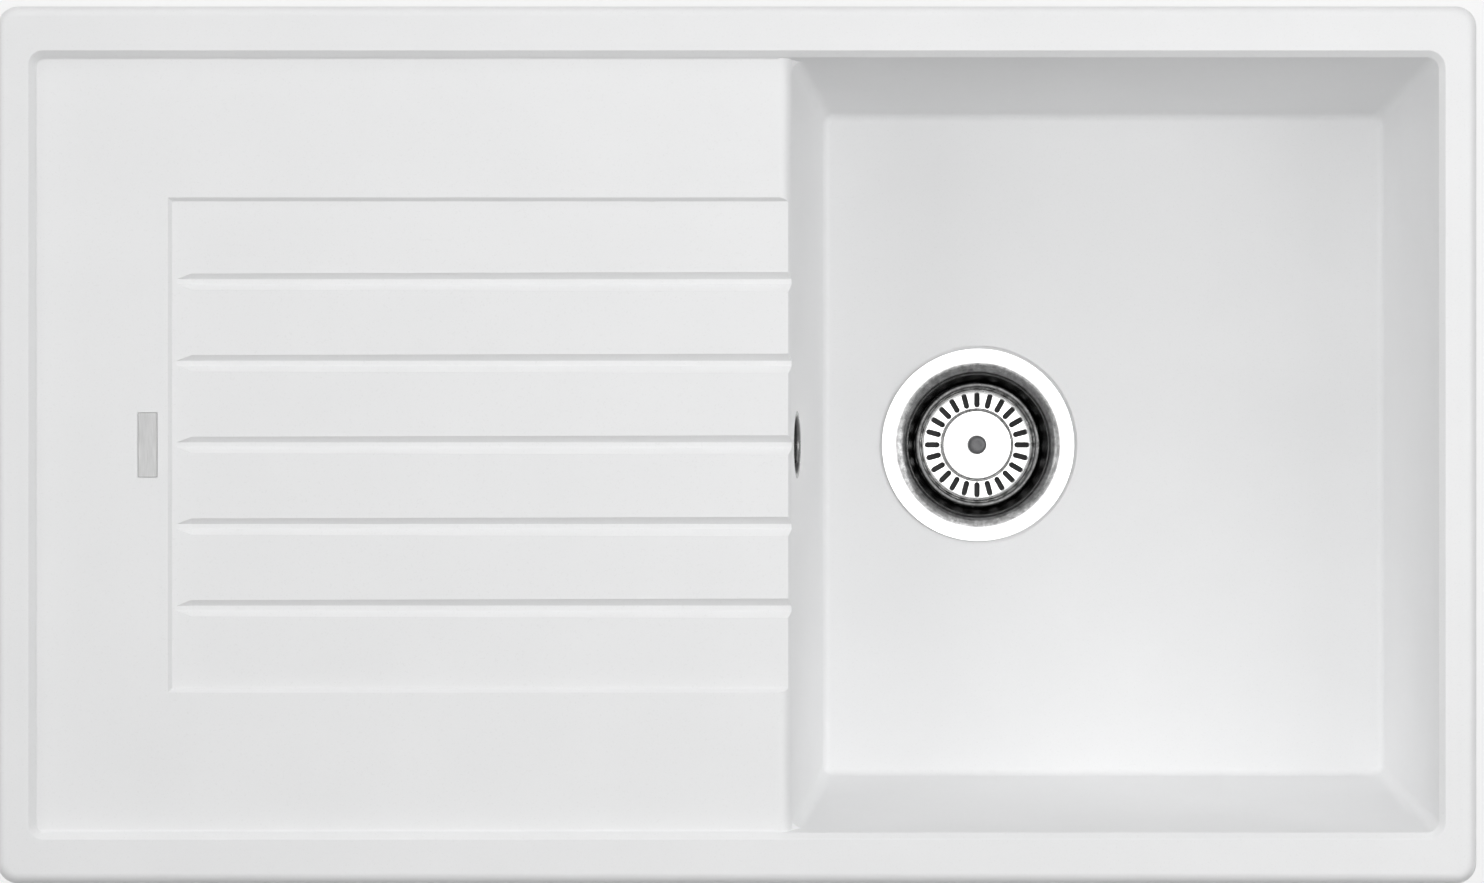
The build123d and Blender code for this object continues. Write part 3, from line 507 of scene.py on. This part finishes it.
route = bpy.data.curves.new("hose route", "CURVE")
route.dimensions = "3D"
line = route.splines.new("BEZIER")
line.bezier_points.add(3)
handle = hose_bend_r * round_handle
bend_top = hose_level + hose_bend_r
bend_end = hose_x + hose_bend_r
hose_points = (  # each point, then its handles before and after it, counted from the point
    ((hose_x, 0, hose_top), (0, 0, 0.02), (0, 0, -0.03)),
    ((hose_x, 0, bend_top), (0, 0, 0.03), (0, 0, -handle)),
    ((bend_end, 0, hose_level), (-handle, 0, 0), (0.008, 0, 0)),
    ((hose_end_x, 0, hose_level), (-0.008, 0, 0), (0.01, 0, 0)),
)
for point, (at, before, after) in zip(line.bezier_points, hose_points):
    point.co = at
    point.handle_left = [a + b for a, b in zip(at, before)]
    point.handle_right = [a + b for a, b in zip(at, after)]
route.resolution_u = 64
path = bpy.data.objects.new("hose route", route)
bpy.context.scene.collection.objects.link(path)
follow = hose.modifiers.new("bend", "CURVE")
follow.object = path
follow.deform_axis = "POS_Z"
bpy.ops.object.modifier_apply(modifier="bend")
bpy.data.objects.remove(path)
thick = hose.modifiers.new("wall", "SOLIDIFY")
thick.thickness = hose_wall
thick.offset = -1
bpy.ops.object.modifier_apply(modifier="wall")
bpy.ops.object.shade_smooth_by_angle(angle=math.radians(60))

hose_plastic, tree, shader = new_finish("hose plastic", (0.56, 0.57, 0.58), 0.42)
place = place_of(tree)
flow = spread(tree, noise(tree, place, 45.0, 3.0), 0.3, 0.7, 0.0, 1.0)
tree.links.new(
    blend_colours(tree, flow, (0.53, 0.54, 0.55), (0.6, 0.61, 0.62)), shader.inputs["Base Color"]
)
tree.links.new(
    spread(tree, noise(tree, place, 500.0, 2.0), 0.3, 0.7, 0.36, 0.5), shader.inputs["Roughness"]
)
raise_surface(tree, shader, noise(tree, place, 1500.0, 2.0), 0.00002)
hose.data.materials.append(hose_plastic)
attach(hose, "sink")
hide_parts("overflow_hose")

nut_plastic, tree, shader = new_finish("nut plastic", (0.1, 0.1, 0.105), 0.42)
place = place_of(tree)
mottle = noise(tree, place, 140.0, 3.0)
tree.links.new(
    blend_colours(tree, mottle, (0.085, 0.085, 0.09), (0.125, 0.125, 0.13)),
    shader.inputs["Base Color"],
)
raise_surface(tree, shader, noise(tree, place, 2200.0, 2.0), 0.00003)
dress("hose_nut_top", nut_plastic)
dress("hose_nut_bottom", nut_plastic)

# ------------------------------------------------------------------ the clips
# Zinc-plated screws run up into brass sleeves in the sink's bosses. Each carries a stamped
# claw that turns under the worktop and bites into it with its teeth.

zinc, tree, shader = new_finish("zinc plate", (0.62, 0.63, 0.65), 0.38, 1.0)
place = place_of(tree)
spangle = tree.nodes.new("ShaderNodeTexVoronoi")
spangle.inputs["Scale"].default_value = 420.0
tree.links.new(place, spangle.inputs["Vector"])
tree.links.new(
    blend_colours(tree, spangle.outputs["Distance"], (0.6, 0.61, 0.63), (0.7, 0.7, 0.71)),
    shader.inputs["Base Color"],
)
tree.links.new(
    spread(tree, noise(tree, place, 500.0, 3.0), 0.3, 0.7, 0.3, 0.48), shader.inputs["Roughness"]
)

screw_pitch = 0.0008
wave_step = 20  # how far a wave texture runs on in a metre at a scale of 1, in radians

screw_zinc, tree, shader = new_finish("screw thread", (0.64, 0.65, 0.67), 0.34, 1.0)
turns = tree.nodes.new("ShaderNodeTexWave")
turns.bands_direction = "Z"
turns.inputs["Scale"].default_value = 2 * math.pi / screw_pitch / wave_step
tree.links.new(place_of(tree), turns.inputs["Vector"])
raise_surface(tree, shader, turns.outputs["Fac"], 0.00035)
# The colour follows the relief's bands and is darker in the roots: painted shade in the thread.
tree.links.new(
    blend_colours(tree, turns.outputs["Fac"], (0.4, 0.41, 0.43), (0.7, 0.71, 0.72)),
    shader.inputs["Base Color"],
)

clip_count = 8
for number in range(1, clip_count + 1):
    dress(f"clip_screw_{number}", screw_zinc)
    dress(f"clip_claw_{number}", zinc)

# ------------------------------------------------------------------ floor, light and camera
# Plain white floor under the sink, soft boxes over the bowl, behind the sink and on both
# sides, and a camera six metres straight above, square to the rim.

floor_gap = 0.001  # lowest point of the sink to the floor
floor = add_piece(
    "floor", bpy.ops.mesh.primitive_plane_add, size=14, location=(0, 0, cad_box[0].z - floor_gap)
)


def white_to_camera(tree, surface, output):
    """Shows the mix's second surface to the camera, in reflections and through glass."""
    rays = tree.nodes.new("ShaderNodeLightPath")
    seen = tree.nodes.new("ShaderNodeMath")
    seen.operation = "MAXIMUM"
    tree.links.new(rays.outputs["Is Camera Ray"], seen.inputs[0])
    tree.links.new(rays.outputs["Is Glossy Ray"], seen.inputs[1])
    through = tree.nodes.new("ShaderNodeMath")
    through.operation = "MAXIMUM"
    tree.links.new(seen.outputs[0], through.inputs[0])
    tree.links.new(rays.outputs["Is Transmission Ray"], through.inputs[1])
    mix = tree.nodes.new("ShaderNodeMixShader")
    tree.links.new(through.outputs[0], mix.inputs["Fac"])
    tree.links.new(surface, mix.inputs[1])
    tree.links.new(mix.outputs[0], output)
    return mix


floor_paint = bpy.data.materials.new("floor paint")
floor_paint.use_nodes = True
tree = floor_paint.node_tree
shader = tree.nodes["Principled BSDF"]
shader.inputs["Base Color"].default_value = (0.9, 0.9, 0.9, 1)
shader.inputs["Roughness"].default_value = 0.9
mix = white_to_camera(
    tree, shader.outputs["BSDF"], tree.nodes["Material Output"].inputs["Surface"]
)
white = tree.nodes.new("ShaderNodeEmission")
shaded_white = tree.nodes.new("ShaderNodeMixShader")
shaded_white.inputs["Fac"].default_value = 0.75  # the rest keeps the sink's shadow
tree.links.new(shader.outputs["BSDF"], shaded_white.inputs[1])
tree.links.new(white.outputs["Emission"], shaded_white.inputs[2])
tree.links.new(shaded_white.outputs[0], mix.inputs[2])
floor.data.materials.append(floor_paint)

world = bpy.data.worlds.new("studio")
bpy.context.scene.world = world
world.use_nodes = True
tree = world.node_tree
surround = tree.nodes["Background"]
surround.inputs["Color"].default_value = (1, 1, 1, 1)
surround.inputs["Strength"].default_value = 0.15
backdrop = tree.nodes.new("ShaderNodeBackground")
mix = white_to_camera(
    tree, surround.outputs["Background"], tree.nodes["World Output"].inputs["Surface"]
)
tree.links.new(backdrop.outputs["Background"], mix.inputs[2])


def soft_lamp(name, place, aim, across, deep, watts):
    """A soft box that faces a point; its sizes are in metres."""
    bpy.ops.object.select_all(action="DESELECT")
    bpy.ops.object.light_add(type="AREA", location=place)
    lamp = bpy.context.object
    lamp.name = name
    lamp.data.shape = "RECTANGLE"
    lamp.data.size = across
    lamp.data.size_y = deep
    lamp.data.energy = watts
    lamp.rotation_mode = "QUATERNION"
    aimed = lamp.location.copy()
    aimed.x, aimed.y, aimed.z = (a - p for a, p in zip(aim, place))
    lamp.rotation_quaternion = aimed.to_track_quat("-Z", "Y")


sink_middle = (0, 0, -0.05)
for name, place, aim, across, deep, watts in (
    ("overhead soft box", (0.3, 0.12, 1.7), (0.3, 0.12, 0), 0.9, 0.9, 5.8),
    ("back soft box", (0, 2.12, 3.34), sink_middle, 3.5, 1.6, 15),
    ("low back soft box", (0, 3.46, 1.95), sink_middle, 3.5, 1.6, 28),
    ("left soft box", (-2.83, 0.35, 2.8), sink_middle, 1.8, 3.0, 52),
    ("right soft box", (2.83, 0.35, 2.8), sink_middle, 1.8, 3.0, 12),
    ("near right soft box", (1.6, 0.1, 1.7), (0.2, 0, 0), 0.9, 1.6, 12),
):
    soft_lamp(name, place, aim, across, deep, watts)

image_across = 0.8622  # what the photograph takes in, at the rim's top
image_middle = (0.0029, 0.002)  # the picture's middle, counted from the sink's
rim_top = 0.009
camera_height = 6.0  # over the rim's top
sensor = 36  # width in millimetres
bpy.ops.object.camera_add(location=(*image_middle, rim_top + camera_height), rotation=(0, 0, 0))
camera = bpy.context.object
camera.data.sensor_width = sensor
camera.data.lens = sensor * camera_height / image_across
camera.data.clip_end = 50
bpy.context.scene.camera = camera
bpy.context.scene.view_settings.view_transform = "Standard"
